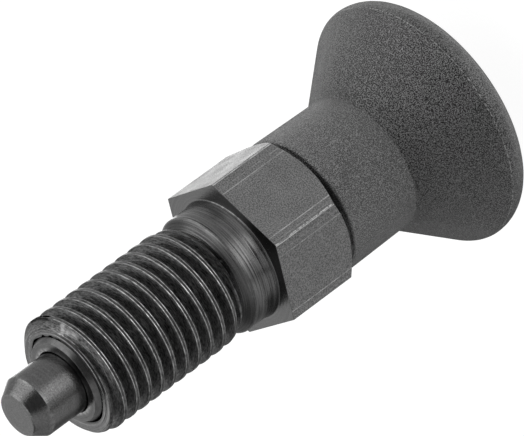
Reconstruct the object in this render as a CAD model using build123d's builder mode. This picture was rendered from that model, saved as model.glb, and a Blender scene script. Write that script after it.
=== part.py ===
from build123d import *
from math import radians, sqrt, tan
import os

os.makedirs("parts", exist_ok=True)

# Indexing plunger with an M12 x 1.5 body, a 6 mm pin and a mushroom grip, in millimetres.
# Origin: centre of the hexagon's front face, which seats on the fixture.
# +Z runs along the axis towards the nose of the pin, -Z towards the grip.

# Shank of the body: plain collar, thread relief, run-out rising in two steps, thread at its
# crest diameter, front chamfer
thread_diameter = 11.84
thread_pitch = 1.5
thread_depth = 0.56 * thread_pitch
body_length = 20.0
collar_diameter = 11.86
collar_length = 2.8
seat_fillet_radius = 0.2
relief_floor_length = 0.1
run_out_depth = 0.3
run_out_steep_length = 0.55
run_out_shallow_length = 1.2
front_chamfer_length = 0.55
front_chamfer_depth = 0.6

# Hexagon of the body, with rolled long edges and a turned chamfer behind
hexagon_across_flats = 14.0
hexagon_length = 8.05
hexagon_edge_radius = 0.15
hexagon_chamfer_angle = 38.0

# Bores of the body, stepped for the bush, the spring and the stem of the pin
rear_wall = 4.0
spring_bore_diameter = 8.3
bush_diameter = 8.8
stem_clearance = 0.05

# Guide bush, pressed in from the front and proud of the body
bush_length = 6.0
bush_rise = 0.45
bush_gap = 0.1
bush_gap_length = 0.65
bush_face_bevel = 0.3
bush_mouth_chamfer = 0.1
bush_lead_in = 0.3
pin_clearance = 0.04

# Pin: nose, tip cone, shoulder that carries the spring, stem that carries the grip
pin_projection = 5.9
pin_diameter = 5.98
tip_cone_length = 1.46
tip_cone_angle = 32.0
shoulder_clearance = 0.1
shoulder_length = 2.0
shoulder_chamfer = 0.3
stem_diameter = 4.0

# Retaining grooves turned in the stem and filled by the moulded grip
groove_count = 2
groove_width = 1.5
groove_depth = 0.35
groove_spacing = 3.0
stem_end_wall = 4.0

# Grip, moulded on the stem: sleeve, cone, rim and flat end
grip_gap = 0.45
sleeve_front_diameter = 14.0
sleeve_rear_diameter = 13.72
sleeve_length = 7.93
sleeve_edge_radius = 0.3
grip_diameter = 24.5
cone_length = 6.91
cone_edge_radius = 1.1
rim_length = 2.66
rim_radius = 2.25

# Compression spring, closed and ground
wire_diameter = 0.7
spring_side_clearance = 0.45
active_turns = 6
wire_sides = 6
closed_turns = 1

# Radii and stations along the axis that follow from the sizes above
thread_radius = thread_diameter / 2
collar_radius = collar_diameter / 2
relief_radius = thread_radius - thread_depth
hexagon_inradius = hexagon_across_flats / 2
hexagon_corner_radius = 2 * hexagon_inradius / sqrt(3)
spring_bore_radius = spring_bore_diameter / 2
bush_radius = bush_diameter / 2
pin_radius = pin_diameter / 2
bush_bore_radius = pin_radius + pin_clearance
shoulder_radius = spring_bore_radius - shoulder_clearance
stem_radius = stem_diameter / 2
guide_radius = stem_radius + stem_clearance

relief_start = collar_length
relief_floor_start = relief_start + collar_radius - relief_radius
relief_floor_end = relief_floor_start + relief_floor_length
run_out_knee = relief_floor_end + run_out_steep_length
thread_start = run_out_knee + run_out_shallow_length
thread_end = body_length - front_chamfer_length
hexagon_end = -hexagon_length
spring_floor = hexagon_end + rear_wall
bush_seat = body_length - bush_length
shoulder_front = bush_seat
shoulder_rear = shoulder_front - shoulder_length
pin_tip = body_length + pin_projection
grip_front = hexagon_end - grip_gap
cone_start = grip_front - sleeve_length
cone_end = cone_start - cone_length
grip_end = cone_end - rim_length
stem_end = grip_end + stem_end_wall

# Threaded body: one turned length of hexagon bar
hexagon_chamfer_length = (hexagon_corner_radius - hexagon_inradius) * tan(radians(hexagon_chamfer_angle))
with BuildPart() as threaded_body:
    with BuildSketch() as hexagon_section:
        RegularPolygon(radius=hexagon_inradius, side_count=6, major_radius=False)
        fillet(hexagon_section.vertices(), hexagon_edge_radius)
    extrude(amount=-hexagon_length)
    with BuildSketch(Plane.XZ):
        with BuildLine():
            Polyline(
                (hexagon_inradius, hexagon_end),
                (hexagon_corner_radius, hexagon_end + hexagon_chamfer_length),
                (hexagon_corner_radius, hexagon_end),
                close=True,
            )
        make_face()
    revolve(axis=Axis.Z, mode=Mode.SUBTRACT)
    with BuildSketch(Plane.XZ):
        with BuildLine():
            root_center = (collar_radius + seat_fillet_radius, seat_fillet_radius)
            seat_root = CenterArc(root_center, seat_fillet_radius, 180, 90)
            Polyline(
                seat_root @ 0,
                (collar_radius, relief_start),
                (relief_radius, relief_floor_start),
                (relief_radius, relief_floor_end),
                (thread_radius - run_out_depth, run_out_knee),
                (thread_radius, thread_start),
                (thread_radius, thread_end),
                (thread_radius - front_chamfer_depth, body_length),
                (0, body_length),
                (0, 0),
                seat_root @ 1,
            )
        make_face()
    revolve(axis=Axis.Z)
    with Locations((0, 0, body_length)):
        CounterBoreHole(
            radius=spring_bore_radius,
            counter_bore_radius=bush_radius,
            counter_bore_depth=bush_length,
            depth=body_length - spring_floor,
        )
    Hole(radius=guide_radius)
threaded_body.part.label = "threaded_body"
export_step(threaded_body.part, "parts/threaded_body.step")

# Guide bush: turned ring, flat in front, bevelled and relieved where it stands out of the body
bush_edge_radius = bush_radius - bush_gap
bush_mouth_radius = bush_bore_radius + bush_mouth_chamfer
bush_front = body_length + bush_rise
with BuildPart() as guide_bush:
    with BuildSketch(Plane.XZ):
        with BuildLine():
            Polyline(
                (bush_bore_radius, bush_seat),
                (bush_radius - bush_lead_in, bush_seat),
                (bush_radius, bush_seat + bush_lead_in),
                (bush_radius, body_length - bush_gap_length),
                (bush_edge_radius, body_length - bush_gap_length + bush_gap),
                (bush_edge_radius, bush_front - bush_face_bevel),
                (bush_edge_radius - bush_face_bevel, bush_front),
                (bush_mouth_radius, bush_front),
                (bush_bore_radius, bush_front - bush_mouth_chamfer),
                close=True,
            )
        make_face()
    revolve(axis=Axis.Z)
guide_bush.part.label = "guide_bush"
export_step(guide_bush.part, "parts/guide_bush.step")

# Pin: turned in one piece, with retaining grooves near the end of the stem
tip_radius = pin_radius - tip_cone_length * tan(radians(tip_cone_angle))
groove_stations = [stem_end + groove_spacing * (count + 1) - groove_width for count in range(groove_count)]
with BuildPart() as index_pin:
    with BuildSketch(Plane.XZ):
        with BuildLine():
            Polyline(
                (0, stem_end),
                (stem_radius, stem_end),
                (stem_radius, shoulder_rear),
                (shoulder_radius - shoulder_chamfer, shoulder_rear),
                (shoulder_radius, shoulder_rear + shoulder_chamfer),
                (shoulder_radius, shoulder_front),
                (pin_radius, shoulder_front),
                (pin_radius, pin_tip - tip_cone_length),
                (tip_radius, pin_tip),
                (0, pin_tip),
                close=True,
            )
        make_face()
    revolve(axis=Axis.Z)
    with BuildSketch(Plane.XZ):
        for station in groove_stations:
            with Locations((stem_radius - groove_depth, station)):
                Rectangle(groove_depth, groove_width, align=(Align.MIN, Align.MIN))
    revolve(axis=Axis.Z, mode=Mode.SUBTRACT)
index_pin.part.label = "index_pin"
export_step(index_pin.part, "parts/index_pin.step")

# Grip: moulding with a drafted sleeve, a cone and a rounded rim, closed round the stem
grip_radius = grip_diameter / 2
with BuildPart() as grip:
    with BuildSketch(Plane.XZ) as grip_section:
        with BuildLine():
            Polyline(
                (0, grip_end),
                (grip_radius, grip_end),
                (grip_radius, cone_end),
                (sleeve_rear_diameter / 2, cone_start),
                (sleeve_front_diameter / 2, grip_front),
                (0, grip_front),
                close=True,
            )
        make_face()
        outer_corners = grip_section.vertices().sort_by(Axis.X)
        rim_corners = outer_corners[-2:].sort_by(Axis.Y)
        sleeve_corner = grip_section.vertices().filter_by(lambda corner: corner.X > 0).sort_by(Axis.Y)[-1]
        fillet(rim_corners[0], rim_radius)
        fillet(rim_corners[1], cone_edge_radius)
        fillet(sleeve_corner, sleeve_edge_radius)
    revolve(axis=Axis.Z)
    add(index_pin.part, mode=Mode.SUBTRACT)
grip.part.label = "grip"
export_step(grip.part, "parts/grip.step")

# Spring: closed coil, open coils, closed coil, ground flat at both ends.
# The round wire is drawn as a hexagon across its corners, which keeps the coil light to mesh.
spring_length = shoulder_rear - spring_floor
coil_radius = spring_bore_radius - spring_side_clearance - wire_diameter / 2
closed_height = closed_turns * wire_diameter
open_height = spring_length - 2 * closed_height
with BuildPart() as spring:
    with BuildLine() as coil:
        Helix(wire_diameter, closed_height, coil_radius, center=(0, 0, spring_floor))
        Helix(open_height / active_turns, open_height, coil_radius, center=(0, 0, spring_floor + closed_height))
        Helix(wire_diameter, closed_height, coil_radius, center=(0, 0, shoulder_rear - closed_height))
    with BuildSketch(Plane(origin=coil.line @ 0, z_dir=coil.line % 0)):
        RegularPolygon(radius=wire_diameter / 2, side_count=wire_sides)
    sweep(path=coil.line, is_frenet=True)
    with BuildSketch(Plane.XY.offset(spring_floor)):
        Circle(spring_bore_radius)
    extrude(amount=spring_length, mode=Mode.INTERSECT)
spring.part.label = "spring"
export_step(spring.part, "parts/spring.step")
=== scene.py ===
import bpy
import bmesh
import math
import numpy as np
from mathutils import Matrix, Vector


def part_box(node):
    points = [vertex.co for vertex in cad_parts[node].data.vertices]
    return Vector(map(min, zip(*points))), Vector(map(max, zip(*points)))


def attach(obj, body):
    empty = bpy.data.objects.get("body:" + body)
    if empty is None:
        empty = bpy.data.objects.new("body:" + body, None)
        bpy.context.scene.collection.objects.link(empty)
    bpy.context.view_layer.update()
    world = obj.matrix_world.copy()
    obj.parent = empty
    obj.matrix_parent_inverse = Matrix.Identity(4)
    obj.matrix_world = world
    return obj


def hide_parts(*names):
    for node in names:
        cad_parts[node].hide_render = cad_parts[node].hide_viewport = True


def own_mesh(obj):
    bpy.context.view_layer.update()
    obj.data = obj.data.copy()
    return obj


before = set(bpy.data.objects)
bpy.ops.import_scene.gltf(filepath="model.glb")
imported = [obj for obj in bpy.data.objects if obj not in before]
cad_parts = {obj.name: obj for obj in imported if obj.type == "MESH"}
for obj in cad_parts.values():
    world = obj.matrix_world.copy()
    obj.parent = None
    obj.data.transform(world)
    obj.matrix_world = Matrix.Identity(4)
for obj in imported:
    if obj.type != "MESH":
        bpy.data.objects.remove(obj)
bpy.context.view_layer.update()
mm = 0.001


def cadSpan(node):
    # lowest and highest corner of a frame node, in millimetres
    low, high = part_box(node)
    return np.array(low) / mm, np.array(high) / mm


bodyLow, bodyHigh = cadSpan("threaded_body")
bushLow, bushHigh = cadSpan("guide_bush")
pinLow, pinHigh = cadSpan("index_pin")
springLow, springHigh = cadSpan("spring")
gripLow, gripHigh = cadSpan("grip")
print("frame loaded, overall height", round(float(pinHigh[2] - gripLow[2]), 2), "mm")


# ---- mesh helpers -------------------------------------------------------------------------

def roundCorners(corners, steps=4):
    # corners: (radius, height, rounding); each rounded corner becomes an arc tangent to both its sides
    path = []
    for index, (r, z, rounding) in enumerate(corners):
        here = np.array([r, z], float)
        if rounding <= 0:
            path.append(here[None])
            continue
        before = np.array(corners[index - 1][:2], float) - here
        after = np.array(corners[(index + 1) % len(corners)][:2], float) - here
        lengthBefore, lengthAfter = np.linalg.norm(before), np.linalg.norm(after)
        before, after = before / lengthBefore, after / lengthAfter
        halfAngle = 0.5 * math.acos(np.clip(before @ after, -1, 1))
        setback = min(rounding / math.tan(halfAngle), 0.98 * lengthBefore, 0.98 * lengthAfter)
        arcRadius = setback * math.tan(halfAngle)
        middle = (before + after) / np.linalg.norm(before + after)
        centre = here + middle * arcRadius / math.sin(halfAngle)
        start, end = here + before * setback - centre, here + after * setback - centre
        sweep = math.pi - 2 * halfAngle
        share = np.linspace(0, 1, steps + 1)[:, None]
        arc = (np.sin((1 - share) * sweep) * start + np.sin(share * sweep) * end) / math.sin(sweep)
        path.append(centre + arc)
    return np.concatenate(path)


def splitLong(path, longest, closed=False):
    # adds points on the straight stretches so that none is longer than the given length
    if closed:
        path = np.concatenate([path, path[:1]])
    steps = np.maximum(1, np.ceil(np.linalg.norm(np.diff(path, axis=0), axis=1) / longest)).astype(int)
    starts = np.repeat(np.arange(len(steps)), steps)
    share = np.concatenate([np.arange(count) / count for count in steps])
    points = path[starts] + (path[starts + 1] - path[starts]) * share[:, None]
    return points if closed else np.concatenate([points, path[-1:]])


def turned(path, angles):
    # surface of revolution: each profile point (r, z) goes to (r cos a, r sin a, z) for every angle a
    r, z = path[:, 0][:, None], path[:, 1][:, None]
    return np.stack([r * np.cos(angles), r * np.sin(angles), z + 0 * angles], axis=-1)


def gridObject(name, grid, closedRows, sharpAngle=35):
    # rows x columns x 3 points in millimetres; columns always close round the axis, and rows too where asked
    rows, columns = grid.shape[:2]
    rowCount = rows if closedRows else rows - 1
    row, column = np.meshgrid(np.arange(rowCount), np.arange(columns), indexing="ij")
    nextRow, nextColumn = (row + 1) % rows, (column + 1) % columns
    quads = np.stack([row * columns + column, row * columns + nextColumn,
                      nextRow * columns + nextColumn, nextRow * columns + column], axis=-1).reshape(-1, 4)
    mesh = bpy.data.meshes.new(name)
    mesh.from_pydata((grid.reshape(-1, 3) * mm).tolist(), [], quads.tolist())
    work = bmesh.new()
    work.from_mesh(mesh)
    bmesh.ops.remove_doubles(work, verts=work.verts, dist=2e-7)
    bmesh.ops.dissolve_degenerate(work, dist=1e-7, edges=work.edges)
    bmesh.ops.recalc_face_normals(work, faces=work.faces)
    work.to_mesh(mesh)
    work.free()
    mesh.polygons.foreach_set("use_smooth", np.ones(len(mesh.polygons), bool))
    mesh.set_sharp_from_angle(angle=math.radians(sharpAngle))
    piece = bpy.data.objects.new(name, mesh)
    bpy.context.scene.collection.objects.link(piece)
    print(name, len(mesh.polygons), "faces")
    return piece


def keepValue(piece, name, valueAt):
    # a value per point from its radius, angle and height in millimetres, such as wear and painted highlight
    # along edges and painted shade in hollows
    mesh = piece.data
    points = np.empty(len(mesh.vertices) * 3)
    mesh.vertices.foreach_get("co", points)
    x, y, z = points.reshape(-1, 3).T / mm
    kept = mesh.attributes.new(name, "FLOAT", "POINT")
    kept.data.foreach_set("value", np.clip(valueAt(np.hypot(x, y), np.arctan2(y, x), z), 0, 1))


def ridge(distance, halfWidth):
    # one at the edge itself, falling smoothly to nothing at about two half widths
    return np.exp(-(distance / halfWidth) ** 2)


# ---- threaded body ------------------------------------------------------------------------

bodySettings = dict(
    pitch=1.5, crestRadius=5.92, rootRadius=5.0, crestHalfWidth=0.17, crestRounding=0.016,
    crestAtFront=17.41, crestAngle=-110.3,      # height of one crest at that angle round the axis
    collarRadius=5.93, collarEnd=2.8, reliefFloorStart=3.65,
    runOutHeights=(3.75, 4.0, 4.3, 4.9, 5.5), runOutDepths=(0.84, 0.5, 0.3, 0.15, 0.0),
    chamferStart=19.45, chamferDepth=0.6,
    acrossFlats=14.0, cornerRounding=0.15, rearCircle=6.97, rearCornerHeight=-7.2,
    seatCone=((5.945, 0.6), (6.035, 0.17)), seatRadius=6.13, seatFillet=0.15,
    edgeBreak=0.03, faceStep=(4.79, 4.85, 0.04), lipRadius=4.33, lipDepth=0.4,
    boreRadius=4.15, bushRadius=4.4, guideRadius=2.05, rearWall=4.0,
    staking=((-12, 9, 0.13), (-37, 3, 0.2), (-52, 4, 0.22), (-66, 5, 0.2), (-88, 4, 0.05), (172, 20, 0.18)),
    # the corners' values are wear with painted highlight; the seat's values place a painted highlight along
    # the seat fillet
    cornerWearAndHighlight=(0.3, 0.3, 0.3, 0.12, 0.34, 0.15),
    chamferLightPatches=((-75, 11, 0.17),),
    fromCrest=(0, 0.05, 0.09, 0.12, 0.135, 0.15, 0.162, 0.175, 0.19, 0.22, 0.34, 0.48, 0.6, 0.65, 0.69, 0.75),
    crestEdgeAt=0.148, crestEdgeWidth=0.023, frontEdgeWidth=0.05,
    collarWear=0.1, collarWearWidth=0.04, seatHighlight=0.5, seatHighlightAt=-72, seatHighlightSpread=30,
    stakingEnd=4.72, stakingFade=0.35,
    chamferDarkPatch=dict(inner=5.68, rear=18.8, front=19.65, angle=-34, halfAngle=15))


def sectorAngles(settings):
    # columns round the axis, dense at the six corners so that their rounding is smooth
    inradius, rounding = settings["acrossFlats"] / 2, settings["cornerRounding"]
    centreOut = (inradius - rounding) / math.cos(math.pi / 6)
    arcHalf = math.atan2(rounding * 0.5, centreOut + rounding * math.cos(math.pi / 6))
    arc = np.linspace(-arcHalf, arcHalf, 5)
    margin = math.radians(0.25)
    flat = np.linspace(arcHalf + margin, math.pi / 3 - arcHalf - margin, 25)
    sector = np.concatenate([arc, flat])
    return (np.arange(6)[:, None] * math.pi / 3 + sector).ravel(), arcHalf, centreOut


def hexagonOutline(angles, settings):
    # distance from the axis: flats at inradius / cos(angle from the flat's middle), arcs at the corners
    _, arcHalf, centreOut = sectorAngles(settings)
    fromCorner = np.abs((angles + math.pi / 6) % (math.pi / 3) - math.pi / 6)
    flat = settings["acrossFlats"] / 2 / np.cos(math.pi / 6 - fromCorner)
    inside = np.maximum(settings["cornerRounding"] ** 2 - (centreOut * np.sin(fromCorner)) ** 2, 0)
    arc = centreOut * np.cos(fromCorner) + np.sqrt(inside)
    return np.where(fromCorner <= arcHalf, arc, flat)


def threadRadius(fromCrest, settings):
    # distance from the axis against distance along it from the nearest crest: flat crest with rounded
    # edges, 30 degree flanks, rounded root
    depth = settings["crestRadius"] - settings["rootRadius"]
    flank = (fromCrest - settings["crestHalfWidth"]) / math.tan(math.radians(30))
    softness = settings["crestRounding"]
    crestSide = softness * np.logaddexp(0, flank / softness)
    rootSoftness = 0.04
    return settings["rootRadius"] + rootSoftness * np.logaddexp(0, (depth - crestSide) / rootSoftness)


def crestPhase(angles, settings):
    # height of the crests at an angle, within one pitch: one pitch per turn, right-handed
    turn = (angles - math.radians(settings["crestAngle"])) / (2 * math.pi)
    return settings["crestAtFront"] % settings["pitch"] + settings["pitch"] * turn


def fromNearestCrest(height, angles, settings):
    # positive towards the front
    pitch = settings["pitch"]
    return (height - crestPhase(angles, settings) + pitch / 2) % pitch - pitch / 2


def threadRows(angles, settings):
    # rows follow the helix: height = crest height + pitch * (turn + angle / 360) + offset, held between the
    # collar and the front face; radius = thread profile cut by the relief, its run-out and the front chamfer
    pitch, top = settings["pitch"], bodyHigh[2]
    turns = np.arange(-3, int(top / pitch) + 4)
    offsets = np.array(settings["fromCrest"])
    offsets = np.concatenate([-offsets[:0:-1], offsets[:-1]])
    levels = (turns[:, None] * pitch + offsets).ravel()
    height = np.clip(levels[:, None] + crestPhase(angles, settings), settings["collarEnd"], top)
    for crease in (settings["reliefFloorStart"], settings["runOutHeights"][0], settings["chamferStart"]):
        nearest = np.argmin(np.abs(height - crease), axis=0)
        height[nearest, np.arange(len(angles))] = crease
    cut = threadRadius(np.abs(fromNearestCrest(height, angles, settings)), settings)
    crest, root = settings["crestRadius"], settings["rootRadius"]
    limit = np.interp(height,
                      [settings["collarEnd"], settings["reliefFloorStart"], *settings["runOutHeights"],
                       settings["chamferStart"], top],
                      [settings["collarRadius"], root, *(crest - np.array(settings["runOutDepths"])),
                       crest, crest - settings["chamferDepth"]])
    softness = 0.02
    blended = limit - softness * np.logaddexp(0, (limit - cut) / softness)
    radius = np.where(height < settings["reliefFloorStart"], limit, blended)
    radius = np.where(height > settings["chamferStart"], np.minimum(cut, limit), radius)
    return np.stack([radius * np.cos(angles), radius * np.sin(angles), height], axis=-1)


def hexagonRows(angles, settings):
    # front face out from the seat fillet, six flats, turned chamfer behind, rear face
    outline = hexagonOutline(angles, settings)
    edge = settings["edgeBreak"]
    seat = settings["seatRadius"]
    rear = bodyLow[2]
    slope = (rear - settings["rearCornerHeight"]) / (settings["rearCircle"] - outline.max())
    crease = rear + slope * (outline - settings["rearCircle"])
    rows = []
    for share in (0, 0.25, 0.5, 0.75, 0.97):
        rows.append((seat + (outline - edge - seat) * share, 0 * angles))
    for share in (0, 0.5, 1):
        rows.append((outline - edge * (1 - math.sin(share * math.pi / 2)),
                     -edge * (1 - math.cos(share * math.pi / 2)) + 0 * angles))
    for share in (0.02, 0.35, 0.68, 0.98, 1):
        rows.append((outline, -edge + (crease + edge) * share))
    for share in (0.03, 0.3, 0.6, 0.97, 1):
        rows.append((outline + (settings["rearCircle"] - outline) * share, crease + (rear - crease) * share))
    return np.stack([np.stack([r * np.cos(angles), r * np.sin(angles), z], axis=-1) for r, z in rows])


def makeThreadedBody():
    s = bodySettings
    angles, _, _ = sectorAngles(s)
    top, bottom = bodyHigh[2], bodyLow[2]
    (nearCone, coneStart), (coneEnd, coneFoot) = s["seatCone"]
    collar = splitLong(roundCorners([
        (s["collarRadius"] - 0.03, s["collarEnd"], 0), (s["collarRadius"], s["collarEnd"] - 0.04, 0),
        (s["collarRadius"], coneStart + 0.2, 0.3), (nearCone, coneStart, 0), (coneEnd, coneFoot, 0),
        (coneEnd + 0.03, 0, s["seatFillet"]), (s["seatRadius"], 0, 0)]), 0.5)
    stepIn, stepOut, stepDepth = s["faceStep"]
    inside = splitLong(roundCorners([
        (s["rearCircle"], bottom, 0), (s["guideRadius"] + 0.3, bottom, 0),
        (s["guideRadius"], bottom + 0.3, 0), (s["guideRadius"], bottom + s["rearWall"], 0),
        (s["boreRadius"], bottom + s["rearWall"], 0),
        (s["boreRadius"], bushLow[2], 0), (s["bushRadius"], bushLow[2], 0),
        (s["bushRadius"], top - s["lipDepth"], 0), (s["lipRadius"], top, 0.04),
        (stepIn, top, 0), (stepOut, top - stepDepth, 0),
        (s["crestRadius"] - s["chamferDepth"], top - stepDepth, 0.0)]), 3.0)
    thread = threadRows(angles, s)[::-1]
    grid = np.concatenate([thread, turned(collar, angles), hexagonRows(angles, s)[1:],
                           stakedLip(turned(inside, angles), angles, s)[1:-1]])
    body = gridObject("threadedBody", grid, closedRows=True, sharpAngle=32)
    keepValue(body, "wearAndHighlight", lambda r, a, z: bodyWearAndHighlights(r, a, z, s))
    keepValue(body, "paintedShade", lambda r, a, z: bodyPaintedShade(r, a, z, s))
    return body


def stakedLip(grid, angles, s):
    # the lip pressed over the bush stands open in a few places: radius + sum of amount * bell(angle),
    # fading outwards over the lip
    turn = np.degrees(angles)
    opening = sum(amount * np.exp(-(((turn - middle + 180) % 360 - 180) / width) ** 2)
                  for middle, width, amount in s["staking"])
    radius = np.hypot(grid[..., 0], grid[..., 1])
    fade = np.clip((s["stakingEnd"] - radius) / s["stakingFade"], 0, 1)
    atLip = (grid[..., 2] > bodyHigh[2] - 0.1) * fade
    widened = 1 + atLip * opening / np.maximum(radius, 1)
    return grid * np.stack([widened, widened, np.ones_like(widened)], axis=-1)


def cameraSide(a, s):
    # painted light: one on the side facing the camera, falling to nothing 60 degrees away; the painted shade
    # on the crests and the painted highlights on the edges are strongest there
    turn = (a - math.radians(s["crestAngle"]) + math.pi) % (2 * math.pi) - math.pi
    return 0.5 + 0.5 * np.cos(np.clip(3 * turn, -math.pi, math.pi))


def bodyPaintedShade(r, a, z, s):
    # painted shade: the colour darkens on the crests, most on the side facing the camera, on the upper flanks
    # and in the relief, down in the roots and under the lip; it also darkens in one patch at the front
    # chamfer
    onThread = z > s["runOutHeights"][0]
    aside = np.abs(fromNearestCrest(z, a, s))
    # painted shade on the crests (deepest on the side facing the camera), the upper flanks, the relief groove
    # and the roots
    crest = (1 - np.clip((aside - 0.1) / 0.03, 0, 1)) * (0.25 + 0.75 * cameraSide(a, s))
    flank = 0.45 * np.clip((r - s["rootRadius"] - 0.15) / 0.55, 0, 1) * (aside > 0.18)
    relief = 0.4 * (z > s["collarEnd"] + 0.1) * (z < s["runOutHeights"][0]) * (r > s["rootRadius"] - 0.1)
    root = 0.25 * np.clip((s["rootRadius"] + 0.12 - r) / 0.1, 0, 1)
    # a darker patch on the front chamfer
    p = s["chamferDarkPatch"]
    rim = (r > p["inner"]) * (z > p["rear"]) * (z < p["front"])
    rim = rim * (np.abs(np.degrees(a) - p["angle"]) < p["halfAngle"])
    # painted shade under the lip
    lip = (r < s["faceStep"][0] - 0.05) * (z > bodyHigh[2] - 3) * (z < bodyHigh[2] - 0.05)
    thread = (crest * (r > s["rootRadius"] + 0.6) + flank + root) * onThread * (r > s["rootRadius"] - 0.1)
    return thread + lip + rim + relief


def bodyWearAndHighlights(r, a, z, s):
    # wear and painted highlights: sum of amount * ridge(distance from an edge): both edges of every crest,
    # the front chamfer, the step in the front face, the end of the collar, the seat; crest and front edges
    # are painted brighter on the side facing the camera, the seat only on its upper side; the hexagon's
    # corners (wear with painted highlight) and a lighter patch on the chamfer are even
    onThread = (z > s["reliefFloorStart"]) & (r > s["rootRadius"] + 0.4)
    aside = fromNearestCrest(z, a, s)
    facing = cameraSide(a, s)
    frontEdge = ridge(aside - s["crestEdgeAt"], s["crestEdgeWidth"])
    rearEdge = 0.7 * ridge(aside + s["crestEdgeAt"], s["crestEdgeWidth"])
    # painted highlight: the crest edges are brighter on the side facing the camera
    crestEdge = (frontEdge + rearEdge) * onThread * (0.3 + 0.7 * facing)
    fromChamfer = np.hypot(z - s["chamferStart"], r - s["crestRadius"])
    fromFace = np.hypot(z - bodyHigh[2], r - s["crestRadius"] + s["chamferDepth"])
    fromCollar = np.hypot(z - s["collarEnd"], r - s["collarRadius"])
    fromSeat = np.hypot(z - 0.08, r - s["seatCone"][1][0] - 0.05)
    # painted highlight along the seat fillet, only over the span of angles where the light falls on it
    seat = s["seatHighlight"] * ridge(fromSeat, 0.06) * ridge(np.degrees(a) - s["seatHighlightAt"], s["seatHighlightSpread"])
    _, arcHalf, _ = sectorAngles(s)
    turn = np.abs((a + math.pi / 6) % (math.pi / 3) - math.pi / 6)
    onCorner = (turn <= arcHalf * 1.01) * (z < -0.01) * (r > 7.0)
    # wear and painted highlight on the hexagon's corners, one value per corner
    corner = onCorner * np.choose(np.round(a / (math.pi / 3)).astype(int) % 6, s["cornerWearAndHighlight"])
    patch = sum(amount * (np.abs((np.degrees(a) - middle + 180) % 360 - 180) < width)
                for middle, width, amount in s["chamferLightPatches"])
    patch = patch * (z > s["chamferStart"] - 0.15) * (r > s["rootRadius"])
    fromStep = np.hypot(z - bodyHigh[2], r - s["faceStep"][0])
    width = s["frontEdgeWidth"]
    front = 0.5 * ridge(fromChamfer, width) + 0.4 * ridge(fromFace, width) + 0.5 * ridge(fromStep, width)
    collar = s["collarWear"] * ridge(fromCollar, s["collarWearWidth"])
    # painted highlight: the front edges are brighter on the side facing the camera
    return crestEdge + (0.2 + 0.8 * facing) * front + collar + corner + patch + seat


# ---- guide bush, pin, spring, grip --------------------------------------------------------

def makeGuideBush():
    s = dict(bore=3.03, mouth=3.13, outer=4.4, gap=0.1, gapLength=0.65, bevel=0.3, rounding=0.05)
    low, high, top = bushLow[2], bushHigh[2], bodyHigh[2]
    edge = s["outer"] - s["gap"]
    path = roundCorners([
        (s["bore"], low, 0), (s["outer"] - 0.3, low, 0), (s["outer"], low + 0.3, 0),
        (s["outer"], top - s["gapLength"], 0), (edge, top - s["gapLength"] + s["gap"], 0),
        (edge, top - 0.05, 0.02), (edge - s["bevel"], high, s["rounding"]),
        (s["mouth"], high, 0.02), (s["bore"], high - (s["mouth"] - s["bore"]), 0.02)])
    angles = np.linspace(0, 2 * math.pi, 128, endpoint=False)
    bush = gridObject("guideBush", turned(splitLong(path, 0.6, closed=True), angles), closedRows=True)
    # wear and painted highlight round the mouth of the bore, fainter on the outer bevel
    keepValue(bush, "wearAndHighlight", lambda r, a, z: (
        ridge(np.hypot(r - s["mouth"] - 0.03, z - high), 0.045)
        + 0.15 * ridge(np.hypot(r - edge + s["bevel"], z - high), 0.06)))
    return bush


# stem of the pin with the two grooves that hold the grip
stemSettings = dict(radius=2.0, grooveWidth=1.5, grooveDepth=0.35, grooveSpacing=3.0)


def grooveCorners(end, settings):
    # front to rear along the stem, both grooves counted from the stem's end
    stem = settings["radius"]
    floor = stem - settings["grooveDepth"]
    corners = []
    for count in (2, 1):
        front = end + settings["grooveSpacing"] * count
        rear = front - settings["grooveWidth"]
        corners += [(stem, front, 0), (floor, front, 0), (floor, rear, 0), (stem, rear, 0)]
    return corners


def makeIndexPin():
    s = dict(nose=2.99, coneLength=1.46, coneRadius=2.08, tipRounding=0.25, rounding=0.07,
             shoulder=4.05, shoulderFront=14.0, shoulderLength=2.0, shoulderChamfer=0.3, wearAndHighlight=0.15)
    tip, end = pinHigh[2], pinLow[2]
    rear = s["shoulderFront"] - s["shoulderLength"]
    stem = stemSettings["radius"]
    corners = [(0, tip, 0), (s["coneRadius"], tip, s["tipRounding"]),
               (s["nose"], tip - s["coneLength"], s["rounding"]),
               (s["nose"], s["shoulderFront"], 0), (s["shoulder"], s["shoulderFront"], 0.05),
               (s["shoulder"], rear + s["shoulderChamfer"], 0),
               (s["shoulder"] - s["shoulderChamfer"], rear, 0), (stem, rear, 0)]
    corners += grooveCorners(end, stemSettings)
    corners += [(stem, end, 0), (0, end, 0)]
    angles = np.linspace(0, 2 * math.pi, 128, endpoint=False)
    pin = gridObject("indexPin", turned(splitLong(roundCorners(corners), 0.5), angles), closedRows=False)
    # wear and painted highlight along the edge of the nose and round the tip
    keepValue(pin, "wearAndHighlight", lambda r, a, z: (
        s["wearAndHighlight"] * ridge(np.hypot(r - s["nose"], z - tip + s["coneLength"]), 0.07)
        + s["wearAndHighlight"] * ridge(np.hypot(r - s["coneRadius"], z - tip), 0.12)))
    return pin


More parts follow.
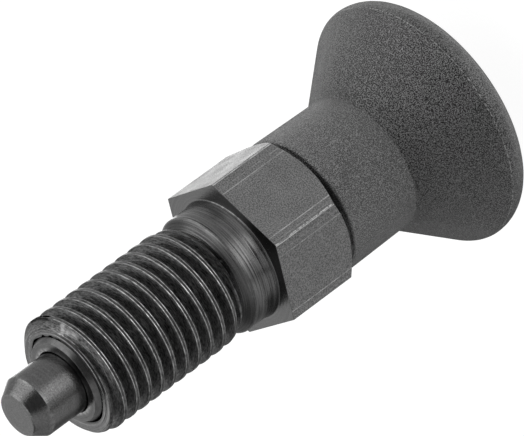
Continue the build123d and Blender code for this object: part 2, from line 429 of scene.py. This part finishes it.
def makeSpring():
    # wire circle carried along a helix whose lead is closed at both ends; the ends are ground flat;
    # it ends a hair short of the pin's shoulder, so that the two don't cut each other
    s = dict(wire=0.7, coilRadius=3.35, openTurns=6.0, closedTurns=1.0, stepsPerTurn=48, wireSides=14,
             shoulderGap=0.02)
    low, high = springLow[2], springHigh[2] - s["shoulderGap"]
    turnCount = s["openTurns"] + 2 * s["closedTurns"]
    turns = np.linspace(0, turnCount, int(s["stepsPerTurn"] * turnCount) + 1)
    closed = s["closedTurns"] * s["wire"]
    height = np.interp(turns, [0, s["closedTurns"], s["closedTurns"] + s["openTurns"], turns[-1]],
                       [low, low + closed, high - closed, high])
    angle = 2 * math.pi * turns
    outwards = np.stack([np.cos(angle), np.sin(angle), 0 * angle], -1)
    centre = outwards * s["coilRadius"] + height[:, None] * np.array([0, 0, 1.0])
    along = np.gradient(centre, axis=0)
    along /= np.linalg.norm(along, axis=1)[:, None]
    upwards = np.cross(along, outwards)
    upwards *= np.sign(upwards[:, 2:3])
    around = np.linspace(0, 2 * math.pi, s["wireSides"], endpoint=False)
    ring = (np.cos(around)[None, :, None] * outwards[:, None]
            + np.sin(around)[None, :, None] * upwards[:, None])
    tube = centre[:, None] + ring * s["wire"] / 2
    tube[..., 2] = np.clip(tube[..., 2], low, high)
    ends = [np.repeat(tube[index].mean(0)[None], s["wireSides"], 0)[None] for index in (0, -1)]
    grid = np.concatenate([ends[0], tube, ends[1]])
    spring = gridObject("coilSpring", grid, closedRows=False, sharpAngle=50)
    keepValue(spring, "wearAndHighlight", lambda r, a, z: 0 * r)
    return spring


def makeGrip():
    # sleeve, cone and rim; the witness line of the mould runs round the largest diameter
    # inside it fits the stem of the pin and fills its grooves
    s = dict(sleeveFront=7.0, sleeveRear=6.86, coneStart=-16.43, coneEnd=-23.34, coneRounding=1.1,
             rimRadius=2.25, frontRounding=0.3, junctionRounding=0.04)
    front, end, radius = gripHigh[2], gripLow[2], gripHigh[0] - 0.001
    bottom, stem = pinLow[2], stemSettings["radius"]
    corners = [(0, end, 0), (radius, end, s["rimRadius"]), (radius, s["coneEnd"], s["coneRounding"]),
               (s["sleeveRear"], s["coneStart"], s["junctionRounding"]),
               (s["sleeveFront"], front, s["frontRounding"]), (stem, front, 0)]
    corners += grooveCorners(bottom, stemSettings)
    corners += [(stem, bottom, 0), (0, bottom, 0)]
    angles = np.linspace(0, 2 * math.pi, 192, endpoint=False)
    path = splitLong(roundCorners(corners, steps=10), 0.7)
    return gridObject("mushroomGrip", turned(path, angles), closedRows=False)


threadedBody = makeThreadedBody()
guideBush = makeGuideBush()
indexPin = makeIndexPin()
coilSpring = makeSpring()
mushroomGrip = makeGrip()


# ---- shared surface effects ---------------------------------------------------------------

def effectGroup(name, inputs, outputs):
    group = bpy.data.node_groups.new(name, "ShaderNodeTree")
    for label, kind, value in inputs:
        socket = group.interface.new_socket(label, in_out="INPUT", socket_type=kind)
        if value is not None:
            socket.default_value = value
    for label, kind in outputs:
        group.interface.new_socket(label, in_out="OUTPUT", socket_type=kind)
    return group, group.nodes.new("NodeGroupInput"), group.nodes.new("NodeGroupOutput")


def addNode(tree, kind, settings=None, inputs=None):
    # settings are the node's own properties; inputs are values or sockets to be linked
    node = tree.nodes.new(kind)
    for key, value in (settings or {}).items():
        setattr(node, key, value)
    for key, value in (inputs or {}).items():
        if isinstance(value, bpy.types.NodeSocket):
            tree.links.new(value, node.inputs[key])
        else:
            node.inputs[key].default_value = value
    return node


def math2(tree, operation, first, second=0.0, third=0.0):
    node = addNode(tree, "ShaderNodeMath", {"operation": operation}, {0: first, 1: second, 2: third})
    return node.outputs[0]


def makeTurningMarks():
    # height drifts slowly round the axis; rings = noise(direction from the axis * dashes, radius and height *
    # rings per metre), so that a few dashes give long rings and many give short strokes along them;
    # bands = coarser noise of radius and height alone
    number, vector = "NodeSocketFloat", "NodeSocketVector"
    group, given, result = effectGroup(
        "turningMarks", [("Position", vector, None), ("Rings per metre", number, 9000.0),
                         ("Bands per metre", number, 1500.0), ("Breakup", number, 0.3),
                         ("Dashes", number, 3.0)],
        [("Rings", number), ("Bands", number)])
    parts = addNode(group, "ShaderNodeSeparateXYZ", inputs={0: given.outputs["Position"]})
    flat = addNode(group, "ShaderNodeVectorMath", {"operation": "MULTIPLY"},
                   {0: given.outputs["Position"], 1: (1, 1, 0)})
    length = addNode(group, "ShaderNodeVectorMath", {"operation": "LENGTH"}, {0: flat.outputs[0]})
    radius = length.outputs["Value"]
    drift = addNode(group, "ShaderNodeTexNoise", {"noise_dimensions": "3D"},
                    {"Vector": given.outputs["Position"], "Scale": 260.0, "Detail": 2.0})
    shift = math2(group, "MULTIPLY", math2(group, "SUBTRACT", drift.outputs["Fac"], 0.5), 0.00006)
    height = math2(group, "MULTIPLY_ADD", shift, given.outputs["Breakup"], parts.outputs["Z"])
    outwards = addNode(group, "ShaderNodeVectorMath", {"operation": "NORMALIZE"}, {0: flat.outputs[0]})
    strokes = addNode(group, "ShaderNodeVectorMath", {"operation": "SCALE"},
                      {0: outwards.outputs[0], "Scale": given.outputs["Dashes"]})
    across = addNode(group, "ShaderNodeCombineXYZ", inputs={
        "Z": math2(group, "MULTIPLY", radius, given.outputs["Rings per metre"])})
    place = addNode(group, "ShaderNodeVectorMath", {"operation": "ADD"},
                    {0: strokes.outputs[0], 1: across.outputs[0]})
    fine = addNode(group, "ShaderNodeTexNoise", {"noise_dimensions": "4D"}, {
        "Vector": place.outputs[0], "W": math2(group, "MULTIPLY", height, given.outputs["Rings per metre"]),
        "Scale": 1.0, "Detail": 1.0, "Roughness": 0.6})
    profile = addNode(group, "ShaderNodeCombineXYZ", inputs={"X": radius, "Y": height})
    broad = addNode(group, "ShaderNodeTexNoise", {"noise_dimensions": "2D"},
                    {"Vector": profile.outputs[0], "Scale": given.outputs["Bands per metre"],
                     "Detail": 1.0, "Roughness": 0.5})
    group.links.new(fine.outputs["Fac"], result.inputs["Rings"])
    group.links.new(broad.outputs["Fac"], result.inputs["Bands"])
    return group


def makeSpeckle():
    # two sizes of noise, each = one half + contrast * (noise - one half), clamped: fine grain, slow clouds
    number, vector = "NodeSocketFloat", "NodeSocketVector"
    group, given, result = effectGroup(
        "speckle", [("Position", vector, None), ("Grains per metre", number, 7000.0),
                    ("Clouds per metre", number, 300.0), ("Contrast", number, 2.0)],
        [("Grain", number), ("Clouds", number)])
    fine = addNode(group, "ShaderNodeTexNoise", {"noise_dimensions": "3D"},
                   {"Vector": given.outputs["Position"], "Scale": given.outputs["Grains per metre"],
                    "Detail": 1.0, "Roughness": 0.5})
    clouds = addNode(group, "ShaderNodeTexNoise", {"noise_dimensions": "3D"},
                     {"Vector": given.outputs["Position"], "Scale": given.outputs["Clouds per metre"],
                      "Detail": 3.0, "Roughness": 0.6})
    for source, label in ((fine, "Grain"), (clouds, "Clouds")):
        centred = math2(group, "SUBTRACT", source.outputs["Fac"], 0.5)
        stretched = math2(group, "MULTIPLY_ADD", centred, given.outputs["Contrast"], 0.5)
        clamped = addNode(group, "ShaderNodeClamp", inputs={"Value": stretched})
        group.links.new(clamped.outputs[0], result.inputs[label])
    return group


turningMarks = makeTurningMarks()
speckle = makeSpeckle()


# ---- materials ----------------------------------------------------------------------------

def newMaterial(name):
    material = bpy.data.materials.new(name)
    material.use_nodes = True
    tree = material.node_tree
    position = addNode(tree, "ShaderNodeTexCoord").outputs["Object"]
    return material, tree, position, tree.nodes["Principled BSDF"]


def placeGroup(tree, group, inputs):
    node = tree.nodes.new("ShaderNodeGroup")
    node.node_tree = group
    for key, value in inputs.items():
        if isinstance(value, bpy.types.NodeSocket):
            tree.links.new(value, node.inputs[key])
        else:
            node.inputs[key].default_value = value
    return node


def greyBetween(tree, value, dark, light):
    ramp = addNode(tree, "ShaderNodeMix", {"data_type": "RGBA", "clamp_factor": False}, {"Factor": value})
    ramp.inputs["A"].default_value = (dark, dark, dark, 1)
    ramp.inputs["B"].default_value = (light, light, light, 1)
    return ramp.outputs["Result"]


def wearAndHighlightColour(tree, position, colour, bare, grains=2200.0, steady=0.3):
    # colour = mix(finish, bare steel, wear and painted highlight * noise stretched between a steady share and
    # one)
    wearAndGlint = addNode(tree, "ShaderNodeAttribute", {"attribute_name": "wearAndHighlight"}).outputs["Fac"]
    noise = addNode(tree, "ShaderNodeTexNoise", {"noise_dimensions": "3D"}, {
        "Vector": position, "Scale": grains, "Detail": 2.0})
    broken = addNode(tree, "ShaderNodeMapRange", {"interpolation_type": "SMOOTHSTEP"}, {
        "Value": noise.outputs["Fac"], "From Min": 0.4, "From Max": 0.62, "To Min": steady})
    mask = math2(tree, "MULTIPLY", wearAndGlint, broken.outputs[0])
    mixed = addNode(tree, "ShaderNodeMix", {"data_type": "RGBA"}, {"Factor": mask})
    tree.links.new(colour, mixed.inputs["A"])
    mixed.inputs["B"].default_value = (bare, bare, bare, 1)
    return mixed.outputs["Result"]


def makeTurnedSteel(name, s):
    # blackened turned steel: dark metal, colour varies in bands, grain and rings, gloss in slow clouds;
    # fine rings and pits are relief; there are no rings at or behind the seat, where the hexagon starts
    material, tree, position, shader = newMaterial(name)
    shader.inputs["Metallic"].default_value = 1.0
    rings = placeGroup(tree, turningMarks, {
        "Position": position, "Rings per metre": s["rings"], "Bands per metre": s["bands"],
        "Breakup": s["breakup"], "Dashes": s["dashes"]})
    grain = placeGroup(tree, speckle, {"Position": position, "Grains per metre": s["grains"],
                                       "Clouds per metre": 350.0, "Contrast": 1.6})
    tone = math2(tree, "MULTIPLY_ADD", rings.outputs["Bands"], s["bandShare"],
                 math2(tree, "MULTIPLY", grain.outputs["Grain"], s["grainShare"]))
    height = addNode(tree, "ShaderNodeSeparateXYZ", inputs={0: position}).outputs["Z"]
    # the seat's height, the darkest tone, and the grey and specular tint of the painted shade
    seatHeight, darkestTone, paintedShadeGrey, paintedShadeTint = 0.00002, -0.3, 0.012, 0.15
    ringed = math2(tree, "MULTIPLY", math2(tree, "GREATER_THAN", height, seatHeight), s["ringShare"])
    tone = math2(tree, "MULTIPLY_ADD", math2(tree, "SUBTRACT", rings.outputs["Rings"], 0.5), ringed, tone)
    colour = greyBetween(tree, math2(tree, "MAXIMUM", tone, darkestTone), s["dark"], s["light"])
    # painted shade: the body's shade attribute darkens the colour towards near black and dulls the specular
    # tint
    paintedShade = addNode(tree, "ShaderNodeAttribute", {"attribute_name": "paintedShade"}).outputs["Fac"]
    paintedShadeAmount = math2(tree, "MULTIPLY", paintedShade, s["paintedShade"])
    paintedShadeMix = addNode(tree, "ShaderNodeMix", {"data_type": "RGBA"}, {
        "Factor": paintedShadeAmount, "A": colour, "B": (paintedShadeGrey, paintedShadeGrey, paintedShadeGrey, 1)})
    colour = paintedShadeMix.outputs["Result"]
    tree.links.new(greyBetween(tree, paintedShadeAmount, s["edgeTint"], paintedShadeTint), shader.inputs["Specular Tint"])
    tree.links.new(wearAndHighlightColour(tree, position, colour, s["bare"]), shader.inputs["Base Color"])
    rough = addNode(tree, "ShaderNodeMapRange", inputs={
        "Value": grain.outputs["Clouds"], "To Min": s["roughness"] - s["roughSpread"],
        "To Max": s["roughness"] + s["roughSpread"]})
    tree.links.new(rough.outputs[0], shader.inputs["Roughness"])
    bump = addNode(tree, "ShaderNodeBump", inputs={"Height": rings.outputs["Rings"], "Strength": s["relief"],
                                                   "Distance": s["depth"]})
    pits = addNode(tree, "ShaderNodeBump", inputs={"Height": grain.outputs["Grain"], "Strength": s["pits"],
                                                   "Distance": s["pitDepth"], "Normal": bump.outputs[0]})
    tree.links.new(pits.outputs[0], shader.inputs["Normal"])
    return material


def makeDrawnLines():
    # across = inradius * tan(angle wrapped to half a side), the distance from the middle of a flat;
    # lines = thin strokes along the bar where across meets one of a few values, faded by slow noise
    number, vector = "NodeSocketFloat", "NodeSocketVector"
    strokes = ((0.00394, 2.6), (-0.00316, 1.5), (0.0027, 1.1), (-0.0037, 0.4), (0.0032, 0.4))
    group, given, result = effectGroup(
        "drawnLines", [("Position", vector, None), ("Inradius", number, 0.007), ("Width", number, 0.00005)],
        [("Lines", number)])
    parts = addNode(group, "ShaderNodeSeparateXYZ", inputs={0: given.outputs["Position"]})
    angle = math2(group, "ARCTAN2", parts.outputs["Y"], parts.outputs["X"])
    wrapped = math2(group, "WRAP", math2(group, "SUBTRACT", angle, math.pi / 6), math.pi / 6, -math.pi / 6)
    across = math2(group, "MULTIPLY", math2(group, "TANGENT", wrapped), given.outputs["Inradius"])
    fade = addNode(group, "ShaderNodeTexNoise", {"noise_dimensions": "3D"},
                   {"Vector": given.outputs["Position"], "Scale": 900.0, "Detail": 2.0})
    total = None
    for lineAt, strength in strokes:
        aside = math2(group, "ABSOLUTE", math2(group, "SUBTRACT", across, lineAt))
        line = math2(group, "MULTIPLY", math2(group, "LESS_THAN", aside, given.outputs["Width"]), strength)
        total = line if total is None else math2(group, "MAXIMUM", total, line)
    faded = addNode(group, "ShaderNodeMapRange", inputs={"Value": fade.outputs["Fac"], "From Min": 0.35,
                                                         "From Max": 0.6, "To Min": 0.3})
    group.links.new(math2(group, "MULTIPLY", total, faded.outputs[0]), result.inputs["Lines"])
    return group


drawnLines = makeDrawnLines()


def makeHexagonSteel(name, s):
    # drawn bar: matt, finely speckled flats with thin lines along them; bare specks at the corners, wear with
    # painted highlight
    material, tree, position, shader = newMaterial(name)
    shader.inputs["Metallic"].default_value = 1.0
    grain = placeGroup(tree, speckle, {"Position": position, "Grains per metre": s["grains"],
                                       "Clouds per metre": 500.0, "Contrast": s["contrast"]})
    tone = math2(tree, "MULTIPLY_ADD", grain.outputs["Clouds"], s["cloudShare"],
                 math2(tree, "MULTIPLY", grain.outputs["Grain"], 1 - s["cloudShare"]))
    lines = placeGroup(tree, drawnLines, {"Position": position}).outputs["Lines"]
    clamped = addNode(tree, "ShaderNodeClamp", inputs={0: tone}).outputs[0]
    tone = math2(tree, "MULTIPLY_ADD", lines, s["lineShare"], clamped)
    colour = greyBetween(tree, tone, s["dark"], s["light"])
    wearAndGlint = wearAndHighlightColour(tree, position, colour, s["bare"], grains=4500.0, steady=0.0)
    tree.links.new(wearAndGlint, shader.inputs["Base Color"])
    rough = addNode(tree, "ShaderNodeMapRange", inputs={
        "Value": grain.outputs["Clouds"], "To Min": s["roughness"] - 0.05, "To Max": s["roughness"] + 0.05})
    tree.links.new(rough.outputs[0], shader.inputs["Roughness"])
    bump = addNode(tree, "ShaderNodeBump", inputs={"Height": grain.outputs["Grain"], "Strength": s["relief"],
                                                   "Distance": s["depth"]})
    tree.links.new(bump.outputs[0], shader.inputs["Normal"])
    return material


def makeGripPlastic(name, s):
    # eroded moulding: height = noise of two sizes, colour and gloss lighter on the raised grains;
    # the rim behind the mould's parting line is smoother, a broken pale line runs along it, the cone's gloss
    # is lower than the rim's and falls further towards the sleeve as painted shade at the neck, and roughness
    # rises where the surface turns away
    material, tree, position, shader = newMaterial(name)
    fine = addNode(tree, "ShaderNodeTexNoise", {"noise_dimensions": "3D"},
                   {"Vector": position, "Scale": s["grains"], "Detail": 0.0})
    lumps = addNode(tree, "ShaderNodeTexNoise", {"noise_dimensions": "3D"},
                    {"Vector": position, "Scale": s["lumps"], "Detail": 1.0})
    height = math2(tree, "MULTIPLY_ADD", lumps.outputs["Fac"], s["lumpShare"], fine.outputs["Fac"])
    parts = addNode(tree, "ShaderNodeSeparateXYZ", inputs={0: position})
    blend = 0.0001
    rim = addNode(tree, "ShaderNodeMapRange", {"interpolation_type": "SMOOTHSTEP"}, {
        "Value": parts.outputs["Z"], "From Min": s["rimStart"] - blend, "From Max": s["rimStart"] + blend})
    depth = addNode(tree, "ShaderNodeMapRange", inputs={"Value": rim.outputs[0], "To Min": s["rimRelief"],
                                                        "To Max": 1.0})
    scaled = math2(tree, "MULTIPLY", height, depth.outputs[0])
    bump = addNode(tree, "ShaderNodeBump", inputs={"Height": scaled, "Strength": s["relief"],
                                                   "Distance": s["depth"]})
    tree.links.new(bump.outputs[0], shader.inputs["Normal"])
    tone = addNode(tree, "ShaderNodeMapRange", inputs={"Value": fine.outputs["Fac"], "From Min": 0.42,
                                                       "From Max": 0.58})
    sleeve = addNode(tree, "ShaderNodeMapRange", inputs={
        "Value": parts.outputs["Z"], "From Min": s["sleeveStart"] - blend,
        "From Max": s["sleeveStart"] + blend, "To Max": s["sleeveTone"]})
    shade = math2(tree, "ADD", tone.outputs[0], sleeve.outputs[0])
    fromSeam = math2(tree, "ABSOLUTE", math2(tree, "SUBTRACT", parts.outputs["Z"], s["rimStart"]))
    seam = math2(tree, "MULTIPLY", math2(tree, "LESS_THAN", fromSeam, s["seamHalfWidth"]),
                 math2(tree, "GREATER_THAN", lumps.outputs["Fac"], s["seamBreaks"]))
    shade = math2(tree, "MULTIPLY_ADD", seam, s["seamTone"], shade)
    tree.links.new(greyBetween(tree, shade, s["dark"], s["light"]), shader.inputs["Base Color"])
    gloss = math2(tree, "MULTIPLY_ADD", tone.outputs[0], 0.9 * s["specular"], 0.55 * s["specular"])
    # painted shade: the cone's gloss falls towards the sleeve, darkening the neck
    coneGlossAndNeckShade = addNode(tree, "ShaderNodeMapRange", inputs={
        "Value": parts.outputs["Z"], "From Min": s["sleeveStart"] - s["neckLength"],
        "From Max": s["sleeveStart"],
        "To Min": s["coneGloss"], "To Max": s["neckShadeGloss"]})
    beforeSleeve = math2(tree, "LESS_THAN", parts.outputs["Z"], s["sleeveStart"])
    onCone = math2(tree, "MULTIPLY", beforeSleeve, rim.outputs[0])
    shaded = math2(tree, "POWER", coneGlossAndNeckShade.outputs[0], onCone)
    tree.links.new(math2(tree, "MULTIPLY", gloss, shaded), shader.inputs["Specular IOR Level"])
    clouds = addNode(tree, "ShaderNodeTexNoise", {"noise_dimensions": "3D"},
                     {"Vector": position, "Scale": 180.0, "Detail": 3.0})
    rough = addNode(tree, "ShaderNodeMapRange", inputs={
        "Value": clouds.outputs["Fac"], "From Min": 0.3, "From Max": 0.7,
        "To Min": s["roughness"] - 0.04, "To Max": s["roughness"] + 0.04})
    facing = addNode(tree, "ShaderNodeLayerWeight", inputs={"Blend": 0.5}).outputs["Facing"]
    edge = addNode(tree, "ShaderNodeMapRange", inputs={
        "Value": facing, "From Min": 0.6, "From Max": 0.95, "To Max": s["edgeRoughness"]})
    tree.links.new(math2(tree, "ADD", rough.outputs[0], edge.outputs[0]), shader.inputs["Roughness"])
    return material


# the shade share sets how far the body's painted shade darkens the turned finishes
turnedSettings = dict(rings=8500.0, bands=3500.0, breakup=1.0, dashes=1.3, grains=9000.0,
                      bandShare=0.6, grainShare=0.4, ringShare=2.8, paintedShade=0.9, edgeTint=0.9,
                      dark=0.05, light=0.15, roughness=0.26, roughSpread=0.05, relief=1.0,
                      depth=0.000015, pits=0.5, pitDepth=0.000004, bare=0.6)
bushSettings = dict(turnedSettings, dark=0.04, light=0.115, ringShare=0.8, depth=0.000006, bare=0.35)
threadSettings = dict(turnedSettings, rings=12000.0, dashes=11.0, bandShare=0.2, grainShare=0.9,
                      ringShare=4.2, dark=0.062, light=0.175, roughness=0.32, depth=0.000012, bare=1.0)
pinSettings = dict(turnedSettings, rings=9000.0, bandShare=0.3, grainShare=1.2, ringShare=0.8,
                   edgeTint=0.8, dark=0.058, light=0.12, roughness=0.2, relief=0.35, depth=0.000007,
                   pits=1.0, pitDepth=0.000009, bare=0.5)
hexagonSettings = dict(grains=8000.0, contrast=3.4, cloudShare=0.15, lineShare=0.9, dark=0.075, light=0.215,
                       bare=0.7, roughness=0.37, relief=0.8, depth=0.000008)
# the neck's gloss value is painted shade on the cone next to the sleeve
plasticSettings = dict(grains=10200.0, lumps=4000.0, lumpShare=0.35, relief=1.0, depth=0.00009,
                       rimStart=-0.0233, rimRelief=0.5, sleeveStart=-0.01643, sleeveTone=0.85,
                       seamTone=3.0, seamHalfWidth=0.00005, seamBreaks=0.53, neckLength=0.003,
                       coneGloss=0.88, neckShadeGloss=0.72, dark=0.0, light=0.045, specular=0.85,
                       roughness=0.25, edgeRoughness=0.5)

turnedSteel = makeTurnedSteel("turnedBlackSteel", turnedSettings)
bushSteel = makeTurnedSteel("bushBlackSteel", bushSettings)
threadSteel = makeTurnedSteel("threadBlackSteel", threadSettings)
pinSteel = makeTurnedSteel("pinBlackSteel", pinSettings)
hexagonSteel = makeHexagonSteel("drawnHexagonSteel", hexagonSettings)
gripPlastic = makeGripPlastic("erodedBlackPlastic", plasticSettings)


def paintThreadedBody():
    # flats of the hexagon and thread get their own finish; everything else on the body is turned
    mesh = threadedBody.data
    for material in (turnedSteel, hexagonSteel, threadSteel):
        mesh.materials.append(material)
    centre = np.empty(len(mesh.polygons) * 3)
    normal = np.empty(len(mesh.polygons) * 3)
    mesh.polygons.foreach_get("center", centre)
    mesh.polygons.foreach_get("normal", normal)
    centre, normal = centre.reshape(-1, 3), normal.reshape(-1, 3)
    radius = np.hypot(centre[:, 0], centre[:, 1])
    hexagon = (centre[:, 2] < -0.02 * mm) & (radius > 6.9 * mm) & (np.abs(normal[:, 2]) < 0.2)
    pastRelief = centre[:, 2] > bodySettings["reliefFloorStart"] * mm
    thread = pastRelief & (radius > 4.9 * mm) & (np.abs(normal[:, 2]) < 0.99)
    mesh.polygons.foreach_set("material_index", (hexagon * 1 + thread * 2).astype(np.int32))


paintThreadedBody()
guideBush.data.materials.append(bushSteel)
indexPin.data.materials.append(pinSteel)
coilSpring.data.materials.append(pinSteel)
mushroomGrip.data.materials.append(gripPlastic)

for piece, node, body, slot in (
        (threadedBody, "threaded_body", "housing", "body_steel"),
        (guideBush, "guide_bush", "housing", "bush_steel"),
        (indexPin, "index_pin", "plunger", "pin_steel"),
        (coilSpring, "spring", "spring_turn", "spring_steel"),
        (mushroomGrip, "grip", "plunger", "grip_plastic")):
    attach(piece, body)
    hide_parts(node)

# the stroke of the grip in millimetres; the spring gets a mesh of its own
stroke = 6.0
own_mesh(coilSpring)
print("finishes on")


# ---- studio: camera, floor, surroundings --------------------------------------------------

cameraView = dict(azimuth=-20.3, elevation=29.279, roll=-126.193, distance=0.50911,
                  aim=(0.000478, -0.002455, -0.003811), lens=397.6, sensor=36.0)


def makeCamera(view):
    data = bpy.data.cameras.new("studioCamera")
    data.lens, data.sensor_width, data.sensor_fit = view["lens"], view["sensor"], "HORIZONTAL"
    data.clip_start, data.clip_end = 0.01, 50
    camera = bpy.data.objects.new("studioCamera", data)
    turn = (Matrix.Rotation(math.radians(view["azimuth"]), 4, "Z")
            @ Matrix.Rotation(math.radians(90 - view["elevation"]), 4, "X")
            @ Matrix.Rotation(math.radians(view["roll"]), 4, "Z"))
    backwards = (turn @ Vector((0, 0, 1, 0))).to_3d()
    camera.matrix_world = Matrix.Translation(Vector(view["aim"]) + backwards * view["distance"]) @ turn
    bpy.context.scene.collection.objects.link(camera)
    bpy.context.scene.camera = camera


def makeFloor():
    # white to the camera with the object's soft shadow; open to every other ray and from underneath;
    # it lies below the pulled grip
    size, glow, paint, gap = 3.0, 0.92, 0.17, 0.02
    mesh = bpy.data.meshes.new("studioFloor")
    z = (float(gripLow[2]) - stroke - gap) * mm
    corners = [(-size, -size, z), (size, -size, z), (size, size, z), (-size, size, z)]
    mesh.from_pydata(corners, [], [(0, 1, 2, 3)])
    floor = bpy.data.objects.new("studioFloor", mesh)
    bpy.context.scene.collection.objects.link(floor)
    material = bpy.data.materials.new("floorWhite")
    material.use_nodes = True
    tree = material.node_tree
    tree.nodes.clear()
    output = addNode(tree, "ShaderNodeOutputMaterial")
    white = addNode(tree, "ShaderNodeEmission", inputs={"Color": (1, 1, 1, 1), "Strength": glow})
    shaded = addNode(tree, "ShaderNodeBsdfDiffuse", inputs={"Color": (paint, paint, paint, 1)})
    surface = addNode(tree, "ShaderNodeAddShader", inputs={0: white.outputs[0], 1: shaded.outputs[0]})
    clear = addNode(tree, "ShaderNodeBsdfTransparent")
    path, side = addNode(tree, "ShaderNodeLightPath"), addNode(tree, "ShaderNodeNewGeometry")
    above = math2(tree, "SUBTRACT", 1.0, side.outputs["Backfacing"])
    seen = math2(tree, "MULTIPLY", path.outputs["Is Camera Ray"], above)
    mix = addNode(tree, "ShaderNodeMixShader", inputs={0: seen, 1: clear.outputs[0], 2: surface.outputs[0]})
    tree.links.new(mix.outputs[0], output.inputs["Surface"])
    mesh.materials.append(material)


# soft boxes and dark cards round the object: direction, radii of full and no effect in degrees, level
studioPanels = (
    ("sweepBelow", 0, -90, 20, 60, 1.1),
    ("sweepAbove", 0, 82, 12, 34, 1.35),
    ("softBoxFront", -110, -29, 10, 27, 2.05),
    ("gapBeside", 104, -29, 8, 40, 0.26),
    ("softBoxLeft", -29, 34, 22, 40, 2.2),
    ("darkRoundLens", -110.3, 29.3, 24, 42, 0.17),
    ("sweepBehind", 69.7, 29.3, 15, 40, 1.2),
    ("softBoxBehind", 60, -29, 11, 14, 2.8),
    ("flagBehind", 120, 36, 14, 34, 0.3),
)
studioBase = 0.87
# narrow dark slit beside the front soft box: half widths as sines, its reach along the sky as cosines
studioSlit = dict(azimuth=-160, elevation=-29, level=0.1,
                  darkWithin=0.045, gone=0.085, starts=0.85, full=0.95)


def directionTo(azimuth, elevation):
    a, e = math.radians(azimuth), math.radians(elevation)
    return (math.cos(e) * math.cos(a), math.cos(e) * math.sin(a), math.sin(e))


def makeWorld():
    # white to the camera; to every other ray a tent of even light with the panels and the slit laid over it
    world = bpy.data.worlds.new("studio")
    bpy.context.scene.world = world
    world.use_nodes = True
    tree = world.node_tree
    background = tree.nodes["Background"]
    direction = addNode(tree, "ShaderNodeTexCoord").outputs["Generated"]
    level = studioBase
    for name, azimuth, elevation, inner, outer, value in studioPanels:
        towards = addNode(tree, "ShaderNodeVectorMath", {"operation": "DOT_PRODUCT"},
                          {0: direction, 1: directionTo(azimuth, elevation)}).outputs["Value"]
        mask = addNode(tree, "ShaderNodeMapRange", {"interpolation_type": "SMOOTHSTEP"}, {
            "Value": towards, "From Min": math.cos(math.radians(outer)),
            "From Max": math.cos(math.radians(inner))})
        level = addNode(tree, "ShaderNodeMix", {"data_type": "FLOAT", "label": name},
                        {"Factor": mask.outputs[0], "A": level, "B": value}).outputs["Result"]
    s = studioSlit
    across = addNode(tree, "ShaderNodeVectorMath", {"operation": "DOT_PRODUCT"},
                     {0: direction, 1: directionTo(s["azimuth"] + 90, 0)}).outputs["Value"]
    slit = addNode(tree, "ShaderNodeMapRange", {"interpolation_type": "SMOOTHSTEP"}, {
        "Value": math2(tree, "ABSOLUTE", across), "From Min": s["gone"], "From Max": s["darkWithin"]})
    near = addNode(tree, "ShaderNodeVectorMath", {"operation": "DOT_PRODUCT"},
                   {0: direction, 1: directionTo(s["azimuth"], s["elevation"])}).outputs["Value"]
    zone = addNode(tree, "ShaderNodeMapRange", {"interpolation_type": "SMOOTHSTEP"}, {
        "Value": near, "From Min": s["starts"], "From Max": s["full"]})
    level = addNode(tree, "ShaderNodeMix", {"data_type": "FLOAT", "label": "slit"}, {
        "Factor": math2(tree, "MULTIPLY", slit.outputs[0], zone.outputs[0]),
        "A": level, "B": s["level"]}).outputs["Result"]
    seen = addNode(tree, "ShaderNodeLightPath").outputs["Is Camera Ray"]
    strength = addNode(tree, "ShaderNodeMix", {"data_type": "FLOAT"}, {"Factor": seen, "A": level, "B": 1.0})
    tree.links.new(strength.outputs["Result"], background.inputs["Strength"])
    background.inputs["Color"].default_value = (1, 1, 1, 1)


makeCamera(cameraView)
makeFloor()
makeWorld()
bpy.context.scene.view_settings.view_transform = "Standard"
print("studio ready")
